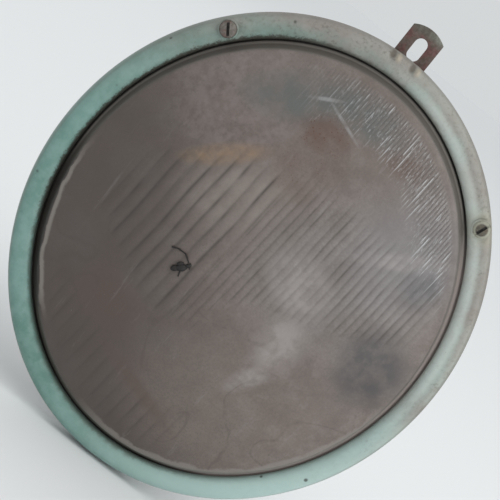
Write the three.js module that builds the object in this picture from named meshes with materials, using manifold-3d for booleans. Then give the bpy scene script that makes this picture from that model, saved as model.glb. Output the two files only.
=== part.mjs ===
// Oval headlamp front unit: pressed rim, moulded lens, adjustable reflector, main bulb and pilot bulb.
// Millimetres. The lens faces -Y, the fixing tab points +Z, and the rim's back plane is y = 0.
import * as THREE from 'three';
import { mergeVertices } from 'three/addons/utils/BufferGeometryUtils.js';
import Module from 'manifold-3d';

const wasm = await Module();
wasm.setup();

// Driving dimensions. Radii of oval pieces are their half heights along Z; half widths are NARROW less.
const NARROW = 9.7;
const EVEN_R = 80;
const GAP = 0.3;
const RING_SEGMENTS = 48;
const BOWL_SEGMENTS = 36;
const RIM_R = 100;
const RIM_SHEET = 1;
const RIM_FLANGE_R = 95.9;
const CROWN_R = 95.5;
const CROWN_Y = -10.5;
const LIP_R = 90.3;
const LIP_Y = -6.5;

const LENS_FLANGE_R = 92.8;
const LENS_BODY_R = 87;
const LENS_FOOT_R = 89.5;
const LENS_FLANGE_FRONT = -6;
const LENS_FLANGE_BACK = -3;
const LENS_SHOULDER_Y = -12;
const LENS_RISE = 11;
const GLASS = 3;

const GASKET = { inner: 87, outer: LENS_FLANGE_R, front: -2.7, back: -0.9 };
const CLAMP = { inner: 86.5, outer: 94.5, front: -0.6, back: 0.4 };
const CLIP_ANGLES = [8, 75, 105, 172, 232, 308];
const CLIP_WIDTH = 10;
const CLIP_SHEET = 0.6;

const TAB = { width: 14.2, root: 95.3, corner: 111.4, tip: 113.6, front: 0.3, back: 1.8 };
const SLOT = { z: 104.3, length: 9.7, width: 5.3 };

const SCREW = { x: 60.8, z: 67.33, r: 1.5, headR: 3.4, end: 10.4 };
const SCREW_HOLE_R = 2.6;
const WASHER = { inner: 2.1, outer: 3.9, front: -11.4, back: -10.8 };
const CIRCLIP = { inner: 1.8, outer: 3.4, front: 0.7, back: 1.4 };
const NUT = { bossR: 2.6, boreR: 1.9, width: 5.2, front: 4, back: 6.5, rootR: 84, footR: 87.2 };
const HINGE_Y = 13;
const PIVOT_Z = -85;
const BALL_R = 3.2;

const FOCAL = 22;
const MOUTH_R = 72.5;
const REFLECTOR_FLANGE_R = 78;
const REFLECTOR_FRONT = 8.5;
const REFLECTOR_SHEET = 1;
const NECK_R = 18.5;
const CARRIER = { inner: 74.5, outer: 80, front: 9.8, back: 11 };
const APEX_Y = REFLECTOR_FRONT + MOUTH_R ** 2 / (4 * FOCAL);
const NECK_Y = APEX_Y - NECK_R ** 2 / (4 * FOCAL);
const NECK_BACK = NECK_Y + 2.6;

const BULB_R = 10;
const BULB_TIP_Y = 30;
const BASE_Y = 62;
const COLLAR_BACK = NECK_BACK + GAP + 3;
const PILOT = { z: -42, glassR: 4.5, tip: 33, base: 46, holder: 56, end: 64 };

const COLOURS = {
  mint: ['#7fa497', 0.55, 0.25],
  rusty_steel: ['#5b4742', 0.8, 0.5],
  lens_glass: ['#8a827b', 0.35, 0],
  rubber: ['#1f1f1e', 0.9, 0],
  zinc: ['#8f8c84', 0.5, 0.8],
  spring_steel: ['#5d5a55', 0.5, 0.8],
  silvered: ['#c9cac8', 0.15, 1],
  brass: ['#b09a5e', 0.4, 0.9],
  bulb_glass: ['#e8ecee', 0.05, 0],
  tungsten: ['#6c6a68', 0.5, 0.9],
  moulding: ['#2a2623', 0.6, 0],
};

const object = new THREE.Group();

function add(name, finish, geometry) {
  const [color, roughness, metalness] = COLOURS[finish];
  const material = new THREE.MeshStandardMaterial({ color, roughness, metalness });
  const mesh = new THREE.Mesh(geometry, material);
  mesh.name = name;
  object.add(mesh);
  return mesh;
}

// A closed mesh with merged corners, no collapsed faces, and its faces pointing outwards.
function closed(geometry) {
  const bare = geometry.clone();
  bare.deleteAttribute('normal');
  bare.deleteAttribute('uv');
  const merged = mergeVertices(bare, 1e-4);
  const p = merged.attributes.position;
  const corners = [0, 1, 2].map(() => new THREE.Vector3());
  const faces = [];
  let volume = 0;
  for (let i = 0; i < merged.index.count; i += 3) {
    const face = [0, 1, 2].map((k) => merged.index.getX(i + k));
    if (new Set(face).size < 3) continue;
    corners.forEach((corner, k) => corner.fromBufferAttribute(p, face[k]));
    volume += corners[0].dot(corners[1].clone().cross(corners[2]));
    faces.push(face);
  }
  merged.setIndex(faces.flatMap((f) => (volume < 0 ? [f[0], f[2], f[1]] : f)));
  return merged;
}

function toSolid(geometry) {
  const mesh = closed(geometry);
  return new wasm.Manifold(new wasm.Mesh({
    numProp: 3,
    vertProperties: new Float32Array(mesh.attributes.position.array),
    triVerts: new Uint32Array(mesh.index.array),
  }));
}

function toGeometry(manifold) {
  const mesh = manifold.getMesh();
  const geometry = new THREE.BufferGeometry();
  geometry.setAttribute('position', new THREE.BufferAttribute(mesh.vertProperties, 3));
  geometry.setIndex(new THREE.BufferAttribute(mesh.triVerts, 1));
  return geometry;
}

function cut(geometry, ...tools) {
  return toGeometry(tools.reduce((body, tool) => body.subtract(toSolid(tool)), toSolid(geometry)));
}

function join(geometry, ...others) {
  return toGeometry(others.reduce((body, other) => body.add(toSolid(other)), toSolid(geometry)));
}

// A profile of [radius, y] points turned about the Y axis.
function turn(profile, segments = 32) {
  const points = profile.map(([r, y]) => new THREE.Vector2(r, y));
  return closed(new THREE.LatheGeometry(points, segments));
}

function ring({ inner, outer, front, back }, segments = 32) {
  return turn([[inner, front], [outer, front], [outer, back], [inner, back], [inner, front]], segments);
}

function rod(radius, front, back, segments = 24) {
  return turn([[0, front], [radius, front], [radius, back], [0, back]], segments);
}

// Squeezes a round piece in X to the lamp's oval.
function oval(geometry) {
  const at = geometry.getAttribute('position');
  for (let i = 0; i < at.count; i += 1) {
    const r = Math.max(Math.hypot(at.getX(i), at.getZ(i)), EVEN_R);
    at.setX(i, at.getX(i) * (r - NARROW) / r);
  }
  return geometry;
}

// A flat outline in X and Z with its thickness along Y.
function plate(shape, front, back, curveSegments = 12) {
  const settings = { depth: back - front, bevelEnabled: false, curveSegments };
  return closed(new THREE.ExtrudeGeometry(shape, settings).rotateX(Math.PI / 2).translate(0, back, 0));
}

// Thickens an open middle line of [radius, y] points into a closed profile.
function sheet(line, thickness) {
  const sides = [[], []];
  line.forEach(([r, y], i) => {
    const before = line[Math.max(i - 1, 0)];
    const after = line[Math.min(i + 1, line.length - 1)];
    const along = new THREE.Vector2(after[0] - before[0], after[1] - before[1]).normalize();
    const half = thickness / 2;
    sides[0].push([r - along.y * half, y + along.x * half]);
    sides[1].unshift([r + along.y * half, y - along.x * half]);
  });
  return [...sides[0], ...sides[1], sides[0][0]];
}

function arc(count, point) {
  return Array.from({ length: count + 1 }, (_, i) => point(i / count));
}

const degrees = THREE.MathUtils.degToRad;

function rimSection() {
  const half = RIM_SHEET / 2;
  const wall = RIM_R - half;
  const bend = 0.9;
  const shoulder = { y: -2.5, wide: wall - CROWN_R, tall: -2.5 - CROWN_Y - half, power: 2 / 2.6 };
  const lip = { r: CROWN_R - LIP_R - half, y: -7.1, tall: -7.1 - CROWN_Y - half };
  return sheet([
    [RIM_FLANGE_R, -half],
    ...arc(2, (t) => [
      wall - bend + bend * Math.sin(t * Math.PI / 2),
      -half - bend + bend * Math.cos(t * Math.PI / 2),
    ]),
    ...arc(5, (t) => [
      CROWN_R + shoulder.wide * Math.cos(t * Math.PI / 2) ** shoulder.power,
      shoulder.y - shoulder.tall * Math.sin(t * Math.PI / 2) ** shoulder.power,
    ]),
    ...arc(3, (t) => [
      CROWN_R - lip.r * Math.sin(degrees(20 + 70 * t)),
      lip.y - lip.tall * Math.cos(degrees(20 + 70 * t)),
    ]),
    [LIP_R + half, LIP_Y],
  ], RIM_SHEET);
}

function atScrews(geometry) {
  return [-1, 1].map((side) => geometry.clone().translate(side * SCREW.x, 0, SCREW.z));
}

function buildRim() {
  const band = oval(turn(rimSection(), RING_SEGMENTS));
  const nibs = [-1, 1].map((side) =>
    new THREE.SphereGeometry(1, 8, 6).scale(1.4, 1.1, 2).translate(side * 4.6, -8.6, 97.4));
  const holes = atScrews(rod(SCREW_HOLE_R, -20, 5));
  add('rim', 'mint', cut(join(band, ...nibs), ...holes));
}

function buildTab() {
  const rise = TAB.tip - TAB.corner;
  const half = TAB.width / 2;
  const radius = (half ** 2 + rise ** 2) / (2 * rise);
  const spread = Math.asin(half / radius);
  const outline = new THREE.Shape();
  outline.moveTo(-half, TAB.root);
  outline.lineTo(half, TAB.root);
  outline.absarc(0, TAB.tip - radius, radius, Math.PI / 2 - spread, Math.PI / 2 + spread);
  outline.closePath();
  const slot = new THREE.Path();
  const reach = (SLOT.length - SLOT.width) / 2;
  slot.absarc(0, SLOT.z + reach, SLOT.width / 2, 0, Math.PI);
  slot.absarc(0, SLOT.z - reach, SLOT.width / 2, Math.PI, 2 * Math.PI);
  slot.closePath();
  outline.holes.push(slot);
  add('fixing_tab', 'rusty_steel', plate(outline, TAB.front, TAB.back, 10));
}

function buildLens() {
  const dome = (radius, edge, from, to) => arc(5, (t) => {
    const r = radius * (from + (to - from) * t);
    return [r, edge - LENS_RISE * (1 - (r / radius) ** 2)];
  });
  const inner = LENS_BODY_R - GLASS;
  add('lens', 'lens_glass', oval(turn([
    ...dome(LENS_BODY_R, LENS_SHOULDER_Y, 0, 1),
    [LENS_FOOT_R, LENS_FLANGE_FRONT],
    [LENS_FLANGE_R, LENS_FLANGE_FRONT],
    [LENS_FLANGE_R, LENS_FLANGE_BACK],
    [inner, LENS_FLANGE_BACK],
    ...dome(inner, LENS_SHOULDER_Y + GLASS, 1, 0),
  ], RING_SEGMENTS)));
  add('lens_gasket', 'rubber', oval(ring(GASKET, RING_SEGMENTS)));
}

function buildClamp() {
  const clamp = oval(ring(CLAMP, RING_SEGMENTS));
  add('clamp_ring', 'zinc', cut(clamp, ...atScrews(rod(SCREW_HOLE_R, -20, 5))));
  const riserOut = RIM_FLANGE_R - 0.4;
  const riserIn = riserOut - CLIP_SHEET;
  const hookBack = -RIM_SHEET - 0.4;
  const press = CLAMP.back + GAP;
  const bend = new THREE.Shape([
    [98, hookBack - CLIP_SHEET], [98, hookBack], [riserOut, hookBack], [riserOut, press + CLIP_SHEET],
    [89.5, press + CLIP_SHEET], [89.5, press], [riserIn, press], [riserIn, hookBack - CLIP_SHEET],
  ].map(([r, y]) => new THREE.Vector2(r, y)));
  const settings = { depth: CLIP_WIDTH, bevelEnabled: false };
  const clip = new THREE.ExtrudeGeometry(bend, settings).translate(0, 0, -CLIP_WIDTH / 2);
  CLIP_ANGLES.forEach((angle, i) => {
    add(`spring_clip_${i + 1}`, 'spring_steel', oval(closed(clip.clone().rotateY(-degrees(angle)))));
  });
}

// A threaded boss on an arm that stands forward from its foot on the carrier's ear.
function buildNut(side) {
  const reach = Math.hypot(SCREW.x, SCREW.z);
  const turnTo = Math.atan2(side * SCREW.x, SCREW.z);
  const bar = (front, back, from, to) => new THREE.BoxGeometry(NUT.width, back - front, to - from)
    .translate(0, (front + back) / 2, (from + to) / 2).rotateY(turnTo);
  const boss = rod(NUT.bossR, NUT.front, NUT.back, 20).translate(side * SCREW.x, 0, SCREW.z);
  const arm = bar(NUT.front, NUT.back, NUT.rootR, reach);
  const foot = bar(NUT.front + 1, CARRIER.front - GAP, NUT.rootR, NUT.footR);
  const bore = rod(NUT.boreR, 0, 12, 20).translate(side * SCREW.x, 0, SCREW.z);
  return cut(join(boss, arm, foot), bore);
}

function buildScrew(side, name, slotTurn) {
  const head = WASHER.front - GAP;
  const blank = turn([
    [0, head - 1.5], [1.5, head - 1.4], [2.6, head - 1], [SCREW.headR, head - 0.4],
    [SCREW.headR, head], [SCREW.r, head], [SCREW.r, SCREW.end - 1], [SCREW.r - 0.6, SCREW.end],
    [0, SCREW.end],
  ], 20);
  const slot = new THREE.BoxGeometry(1.1, 1.4, 9).translate(0, head - 1.4, 0).rotateY(slotTurn);
  const place = (geometry) => geometry.translate(side * SCREW.x, 0, SCREW.z);
  add(`screw_${name}`, 'zinc', place(cut(blank, slot)));
  add(`circlip_${name}`, 'spring_steel', place(ring(CIRCLIP, 20)));
  add(`screw_washer_${name}`, 'zinc', place(ring(WASHER, 24)));
  add(`adjuster_nut_${name}`, 'brass', buildNut(side));
}

function buildPivot() {
  const foot = CLAMP.back + GAP;
  const leg = new THREE.Shape();
  leg.moveTo(-9, -93);
  leg.lineTo(9, -93);
  leg.lineTo(5, -80);
  leg.lineTo(-5, -80);
  leg.closePath();
  const stud = rod(2, foot, HINGE_Y - BALL_R - GAP, 20).translate(0, 0, PIVOT_Z);
  add('pivot_bracket', 'zinc', join(plate(leg, foot, foot + 1.5), stud));
  const ball = new THREE.SphereGeometry(BALL_R, 14, 8).translate(0, HINGE_Y, PIVOT_Z);
  add('pivot_ball', 'brass', closed(ball));
  const socket = { inner: BALL_R + 0.4, outer: 5.6, front: CARRIER.back + GAP, back: 15.6 };
  add('pivot_socket', 'moulding', ring(socket, 24).translate(0, 0, PIVOT_Z));
}

function ear(x, z, width, reach) {
  const root = CARRIER.inner + 1;
  const arm = new THREE.BoxGeometry(width, CARRIER.back - CARRIER.front, reach - root);
  const middle = (CARRIER.front + CARRIER.back) / 2;
  return arm.translate(0, middle, (reach + root) / 2).rotateY(Math.atan2(x, z));
}

function buildReflector() {
  const back = REFLECTOR_FRONT + REFLECTOR_SHEET;
  const bowl = (offset, count, from, to) => arc(count, (t) => {
    const r = from + (to - from) * t;
    const slope = r / (2 * FOCAL);
    const unit = Math.hypot(1, slope);
    return [r + offset * slope / unit, APEX_Y - r ** 2 / (4 * FOCAL) + offset / unit];
  });
  const neck = NECK_R + REFLECTOR_SHEET;
  const shell = turn([
    [REFLECTOR_FLANGE_R, REFLECTOR_FRONT],
    ...bowl(0, 8, MOUTH_R, NECK_R),
    [NECK_R, NECK_BACK],
    [neck, NECK_BACK],
    ...bowl(REFLECTOR_SHEET, 8, neck, MOUTH_R - 0.6),
    [MOUTH_R + REFLECTOR_SHEET, back],
    [REFLECTOR_FLANGE_R, back],
    [REFLECTOR_FLANGE_R, REFLECTOR_FRONT],
  ], BOWL_SEGMENTS);
  const pilotHole = rod(8.4, 20, 70, 20).translate(0, 0, PILOT.z);
  add('reflector', 'silvered', cut(shell, pilotHole));
  const collar = { inner: NECK_R, outer: 24, front: NECK_BACK + GAP, back: COLLAR_BACK };
  add('bulb_collar', 'zinc', ring(collar, 28));
  const ears = [
    ear(-SCREW.x, SCREW.z, 10, NUT.footR + 0.8), ear(SCREW.x, SCREW.z, 10, NUT.footR + 0.8),
    ear(0, PIVOT_Z, 14, -PIVOT_Z), rod(7, CARRIER.front, CARRIER.back).translate(0, 0, PIVOT_Z),
  ];
  const ballHole = rod(BALL_R + 0.4, 5, 15).translate(0, 0, PIVOT_Z);
  add('carrier_ring', 'zinc', cut(join(ring(CARRIER, BOWL_SEGMENTS), ...ears), ballHole));
  const sleeve = { inner: 6.7, outer: 8, front: 44, back: 60 };
  add('pilot_sleeve', 'zinc', ring(sleeve, 20).translate(0, 0, PILOT.z));
}

// A thin glass envelope, open at its base.
function envelope(radius, tip, base, neck, wall) {
  const outer = arc(4, (t) => {
    const a = t * Math.PI / 2;
    return [radius * Math.sin(a), tip + radius * (1 - Math.cos(a))];
  });
  const inner = arc(4, (t) => {
    const a = (1 - t) * Math.PI / 2;
    return [(radius - wall) * Math.sin(a), tip + radius - (radius - wall) * Math.cos(a)];
  });
  return turn([
    ...outer, [radius, base - 8 * (radius - neck) / radius - 3], [neck, base],
    [neck - wall, base], [radius - wall, base - 8 * (radius - neck) / radius - 3], ...inner,
  ], 16);
}

function filament(width, back, front, z) {
  const bar = new THREE.CylinderGeometry(0.8, 0.8, width, 10).rotateZ(Math.PI / 2).translate(0, front, z);
  const posts = [-1, 1].map((side) =>
    rod(0.45, front, back, 10).translate(side * (width / 2 - 0.5), 0, z));
  return join(bar, ...posts);
}

function buildBulb() {
  add('bulb_glass', 'bulb_glass', envelope(BULB_R, BULB_TIP_Y, BASE_Y, 9, 0.9));
  add('filament_main', 'tungsten', filament(7, BASE_Y, 45, -2.4));
  add('filament_dip', 'tungsten', filament(7, BASE_Y, 38, 2.4));
  const shield = new THREE.Shape([[-4, -0.4], [4, -0.4], [4, 0.4], [-4, 0.4]]
    .map(([x, z]) => new THREE.Vector2(x, z)));
  add('dip_shield', 'tungsten', plate(shield, 34, 44));
  const flange = { front: COLLAR_BACK + GAP, back: COLLAR_BACK + GAP + 1.4 };
  add('bulb_base', 'brass', rod(9.4, BASE_Y + GAP, flange.front - GAP, 20));
  add('bulb_flange', 'zinc', rod(22, flange.front, flange.back, 28));
  const cap = flange.back + GAP;
  add('bulb_holder', 'moulding', turn([
    [0, cap], [17, cap], [17, cap + 5], [13, cap + 7], [13, cap + 12], [0, cap + 12],
  ], 24));
  [[-7, 0], [7, 0], [0, 6.5]].forEach(([x, z], i) => {
    const blade = new THREE.BoxGeometry(6.3, 8, 0.8);
    add(`bulb_terminal_${i + 1}`, 'brass', closed(blade.translate(x, cap + 12 + GAP + 4, z)));
  });
}

function buildPilot() {
  const place = (geometry) => geometry.translate(0, 0, PILOT.z);
  add('pilot_glass', 'bulb_glass', place(envelope(PILOT.glassR, PILOT.tip, PILOT.base, 3.6, 0.6)));
  add('pilot_filament', 'tungsten', place(filament(3, PILOT.base, 38.5, 0)));
  add('pilot_base', 'brass', place(rod(4.6, PILOT.base + GAP, PILOT.holder - GAP, 24)));
  add('pilot_holder', 'moulding', place(rod(6.2, PILOT.holder, PILOT.end, 24)));
  const blade = new THREE.BoxGeometry(5, 7, 0.8).translate(0, PILOT.end + GAP + 3.5, 0);
  add('pilot_terminal', 'brass', place(closed(blade)));
}

buildRim();
buildTab();
buildLens();
buildClamp();
buildScrew(-1, 'left', degrees(-35));
buildScrew(1, 'right', degrees(20));
buildPivot();
buildReflector();
buildBulb();
buildPilot();

export default object;
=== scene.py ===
"""Looks of the oval headlamp front unit: painted rim, dusty fluted lens, reflector, bulbs and fixings.

Shapes are given in millimetres and turned about the lamp's own axis, Y. The lens faces -Y.
"""
import math

import bmesh
import bpy
from mathutils import Matrix, Vector, noise


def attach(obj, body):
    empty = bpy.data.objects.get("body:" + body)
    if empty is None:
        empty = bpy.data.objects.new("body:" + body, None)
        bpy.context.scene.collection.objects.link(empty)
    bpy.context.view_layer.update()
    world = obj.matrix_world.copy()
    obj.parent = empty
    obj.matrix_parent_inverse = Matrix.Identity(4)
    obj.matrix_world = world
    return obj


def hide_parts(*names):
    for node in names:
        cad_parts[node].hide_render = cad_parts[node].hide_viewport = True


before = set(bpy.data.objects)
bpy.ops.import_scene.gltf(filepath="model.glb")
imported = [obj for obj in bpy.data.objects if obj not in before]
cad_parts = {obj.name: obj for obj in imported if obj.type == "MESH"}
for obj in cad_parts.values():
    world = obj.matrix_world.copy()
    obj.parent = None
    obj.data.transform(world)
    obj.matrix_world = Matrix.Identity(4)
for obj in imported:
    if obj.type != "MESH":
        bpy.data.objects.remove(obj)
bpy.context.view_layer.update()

MM = 0.001
NARROW = 9.7
EVEN_R = 80.0
WIDEN = 90.0 / (90.0 - NARROW)
RIM_HEIGHT = 100.0
LIP_R = 90.3
CROWN_R = 95.5
CROWN_Y = -10.5
LENS_R = 87.0
LENS_Y = -12.0
LENS_RISE = 11.0
SCREW_X = 60.8
SCREW_Z = 67.33
NIB_X = 4.5
NIB_Z = 98.2
PIVOT_Z = -85.0
PILOT_Z = -42.0
FOCAL = 22.0
MOUTH_R = 72.5
NECK_R = 18.5
APEX_Y = 8.5 + MOUTH_R ** 2 / (4 * FOCAL)
NECK_BACK = APEX_Y - NECK_R ** 2 / (4 * FOCAL) + 2.6
FLUTE_LEAN = math.radians(4.5)
RIB_PITCH = 1.45

scene = bpy.context.scene
scene.view_settings.view_transform = "Standard"


# ---------------------------------------------------------------- stage, camera and lights

def add_camera():
    right = Vector((0.7864, 0.0656, 0.6143)).normalized()
    back = Vector((-0.0724, -0.9777, 0.1971)).normalized()
    up = back.cross(right)
    distance = 0.6
    aim = 0.00090 * right + 0.00418 * up
    data = bpy.data.cameras.new("camera")
    data.sensor_width = 36.0
    data.lens = 110.4
    camera = bpy.data.objects.new("camera", data)
    turned_axes = Matrix((up.cross(back), up, back)).transposed().to_4x4()
    camera.matrix_world = Matrix.Translation(aim + back * distance) @ turned_axes
    scene.collection.objects.link(camera)
    scene.camera = camera


def add_area(name, place, target, size, power, colour):
    data = bpy.data.lights.new(name, "AREA")
    data.shape = "DISK"
    data.size = size
    data.energy = power
    data.color = colour
    light = bpy.data.objects.new(name, data)
    light.location = place
    facing = Vector(target) - Vector(place)
    light.rotation_euler = facing.to_track_quat("-Z", "Y").to_euler()
    scene.collection.objects.link(light)


def add_stage():
    world = bpy.data.worlds.new("studio")
    world.use_nodes = True
    background = world.node_tree.nodes["Background"]
    # the sky is a little darker at the horizon, where it meets the floor
    sky = Graph(world.node_tree)
    direction = sky.put("ShaderNodeTexCoord").outputs["Generated"]
    share = sky.fade(sky.put("ShaderNodeSeparateXYZ", {0: direction}).outputs[2], 0.05, 0.45)
    tint = sky.mix(share, (0.655, 0.675, 0.685, 1.0), (0.88, 0.895, 0.90, 1.0))
    sky.feed(background.inputs["Color"], tint)
    background.inputs["Strength"].default_value = 1.0
    scene.world = world
    add_area("key_light", (0.85, -0.60, 1.00), (0, 0, 0), 1.4, 8.0, (1.0, 0.985, 0.96))
    add_area("side_light", (0.95, -0.75, 0.0), (0, 0, 0), 0.7, 4.5, (0.97, 0.99, 1.0))
    add_area("back_light", (-0.9, 1.7, 1.5), (0, 0, 0), 1.2, 4.0, (1.0, 1.0, 1.0))
    bm = bmesh.new()
    bmesh.ops.create_grid(bm, x_segments=1, y_segments=1, size=6.0)
    bmesh.ops.translate(bm, verts=bm.verts, vec=(0, 0, -0.1005))
    mesh = bpy.data.meshes.new("floor")
    bm.to_mesh(mesh)
    bm.free()
    floor = bpy.data.objects.new("floor", mesh)
    scene.collection.objects.link(floor)
    material = bpy.data.materials.new("pale_floor")
    material.use_nodes = True
    surface = material.node_tree.nodes["Principled BSDF"]
    surface.inputs["Base Color"].default_value = (0.72, 0.735, 0.745, 1.0)
    surface.inputs["Roughness"].default_value = 0.9
    mesh.materials.append(material)


# ---------------------------------------------------------------- node graphs

class Graph:
    """Short ways to add nodes to a material's or a group's tree."""

    def __init__(self, tree):
        self.tree = tree

    def put(self, kind, feeds=None, **settings):
        node = self.tree.nodes.new(kind)
        for key, value in settings.items():
            setattr(node, key, value)
        for key, value in (feeds or {}).items():
            self.feed(node.inputs[key], value)
        return node

    def feed(self, socket, value):
        if isinstance(value, bpy.types.NodeSocket):
            self.tree.links.new(value, socket)
        else:
            socket.default_value = value

    def sum(self, operation, a, b=0.0, clamp=False):
        feeds = {0: a} if operation in ("ABSOLUTE", "SQRT", "SINE") else {0: a, 1: b}
        return self.put("ShaderNodeMath", feeds, operation=operation, use_clamp=clamp).outputs[0]

    def times(self, first, *others):
        for value in others:
            first = self.sum("MULTIPLY", first, value)
        return first

    def most(self, first, *others):
        for value in others:
            first = self.sum("MAXIMUM", first, value)
        return first

    def plus(self, a, b, clamp=False):
        return self.sum("ADD", a, b, clamp)

    def less(self, a, b, clamp=False):
        return self.sum("SUBTRACT", a, b, clamp)

    def lay(self, share, tone, *paint):
        return self.mix(share, tone, (*paint, 1.0))

    def mix(self, share, a, b, blend="MIX"):
        node = self.put("ShaderNodeMix", data_type="RGBA", blend_type=blend)
        self.feed(node.inputs["Factor"], share)
        self.feed(node.inputs[6], a)
        self.feed(node.inputs[7], b)
        return node.outputs[2]

    def fade(self, value, low, high, to_low=0.0, to_high=1.0):
        node = self.put("ShaderNodeMapRange", interpolation_type="SMOOTHSTEP")
        for key, number in zip((0, 1, 2, 3, 4), (value, low, high, to_low, to_high)):
            self.feed(node.inputs[key], number)
        return node.outputs[0]

    def use(self, group, **feeds):
        node = self.put("ShaderNodeGroup", node_tree=group)
        for key, value in feeds.items():
            self.feed(node.inputs[key], value)
        return node.outputs[0]

    def bump(self, height, strength, distance):
        feeds = {"Height": height, "Strength": strength, "Distance": distance}
        return self.put("ShaderNodeBump", feeds).outputs["Normal"]


def new_group(name, sockets):
    """A group with the named inputs, a Vector and one Mask output."""
    tree = bpy.data.node_groups.new(name, "ShaderNodeTree")
    tree.interface.new_socket("Vector", in_out="INPUT", socket_type="NodeSocketVector")
    for label, default in sockets:
        socket = tree.interface.new_socket(label, in_out="INPUT", socket_type="NodeSocketFloat")
        socket.default_value = default
    tree.interface.new_socket("Mask", in_out="OUTPUT", socket_type="NodeSocketFloat")
    graph = Graph(tree)
    return graph, graph.put("NodeGroupInput").outputs, graph.put("NodeGroupOutput").inputs[0]


def make_mottle():
    """Cloudy patches, from 0 to 1 between two levels of a noise."""
    graph, given, result = new_group("mottle", [("Scale", 60.0), ("Low", 0.4), ("High", 0.6)])
    cloud = graph.put("ShaderNodeTexNoise", {"Vector": given["Vector"], "Scale": given["Scale"],
                                             "Detail": 6.0, "Roughness": 0.6})
    graph.feed(result, graph.fade(cloud.outputs["Fac"], given["Low"], given["High"]))
    return graph.tree


def make_specks():
    """Scattered grains: a share of the cells of a pattern hold one grain each."""
    graph, given, result = new_group("specks", [("Scale", 900.0), ("Share", 0.2), ("Size", 0.3)])
    wobble = graph.put("ShaderNodeTexNoise", {"Vector": given["Vector"], "Scale": given["Scale"],
                                              "Detail": 2.0})
    cells = graph.put("ShaderNodeTexVoronoi", {"Vector": given["Vector"], "Scale": given["Scale"]})
    pick = graph.put("ShaderNodeSeparateColor", {0: cells.outputs["Color"]}).outputs[0]
    chosen = graph.sum("LESS_THAN", pick, given["Share"])
    edge = graph.plus(cells.outputs["Distance"], graph.times(wobble.outputs["Fac"], 0.25))
    inside = graph.fade(edge, given["Size"], graph.plus(given["Size"], 0.14), 1.0, 0.0)
    graph.feed(result, graph.times(chosen, inside))
    return graph.tree


def make_scratches():
    """Long thin strokes along one direction of the given vector, which is stretched first."""
    graph, given, result = new_group("scratches", [("Scale", 90.0), ("Low", 0.62), ("High", 0.70)])
    stretch = graph.put("ShaderNodeMapping", {"Vector": given["Vector"], "Scale": (1.0, 1.0, 0.06)})
    line = graph.put("ShaderNodeTexNoise", {"Vector": stretch.outputs[0], "Scale": given["Scale"],
                                            "Detail": 5.0, "Roughness": 0.65})
    graph.feed(result, graph.fade(line.outputs["Fac"], given["Low"], given["High"]))
    return graph.tree


MOTTLE = make_mottle()
SPECKS = make_specks()
SCRATCHES = make_scratches()


def clouds(g, place, scale, low, high):
    return g.use(MOTTLE, Vector=place, Scale=scale, Low=low, High=high)


def grains_on(g, place, scale, share, size):
    return g.use(SPECKS, Vector=place, Scale=scale, Share=share, Size=size)


def start_material(name, roughness, metallic=0.0, **fixed):
    """A material, its graph, its Principled node and the piece's own coordinates."""
    material = bpy.data.materials.new(name)
    material.use_nodes = True
    graph = Graph(material.node_tree)
    surface = material.node_tree.nodes["Principled BSDF"]
    surface.inputs["Roughness"].default_value = roughness
    surface.inputs["Metallic"].default_value = metallic
    for key, value in fixed.items():
        surface.inputs[key.replace("_", " ")].default_value = value
    place = graph.put("ShaderNodeTexCoord").outputs["Object"]
    return material, graph, surface, place


def settle(g, surface, tone, rough, relief, strength, distance):
    """Feeds the colour, the roughness and the fine relief."""
    g.feed(surface.inputs["Base Color"], tone)
    g.feed(surface.inputs["Roughness"], rough)
    g.feed(surface.inputs["Normal"], g.bump(relief, strength, distance))


def split(graph, place):
    """X, Y and Z of a place in millimetres."""
    scaled = graph.put("ShaderNodeVectorMath", {0: place, 1: (1000, 1000, 1000)}, operation="MULTIPLY")
    return graph.put("ShaderNodeSeparateXYZ", {0: scaled.outputs[0]}).outputs


def oval_radius(graph, x, z):
    """Height along Z of the rim-like oval that passes through a point near the rim."""
    wide = graph.times(x, WIDEN)
    square = graph.plus(graph.times(wide, wide), graph.times(z, z))
    return graph.sum("SQRT", square)


def blot(graph, x, z, centre, half, lean=0.0, soft=0.5):
    """A soft oval patch, 1 in its middle, about a centre, with half widths, in millimetres."""
    dx = graph.less(x, centre[0])
    dz = graph.less(z, centre[1])
    c, s = math.cos(lean), math.sin(lean)
    a = graph.plus(graph.times(dx, c / half[0]), graph.times(dz, s / half[0]))
    b = graph.less(graph.times(dz, c / half[1]), graph.times(dx, s / half[1]))
    reach = graph.sum("SQRT", graph.plus(graph.times(a, a), graph.times(b, b)))
    return graph.fade(reach, 1.0 - soft, 1.0 + soft, 1.0, 0.0)


def leaning(g, x, z):
    """How far a place lies towards the upper right and towards the upper left of the lamp."""
    return g.plus(g.times(x, 0.79), g.times(z, 0.61)), g.less(g.times(z, 0.76), g.times(x, 0.61))


def colour(red, green, blue):
    return (red, green, blue, 1.0)


# ---------------------------------------------------------------- materials

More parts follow.
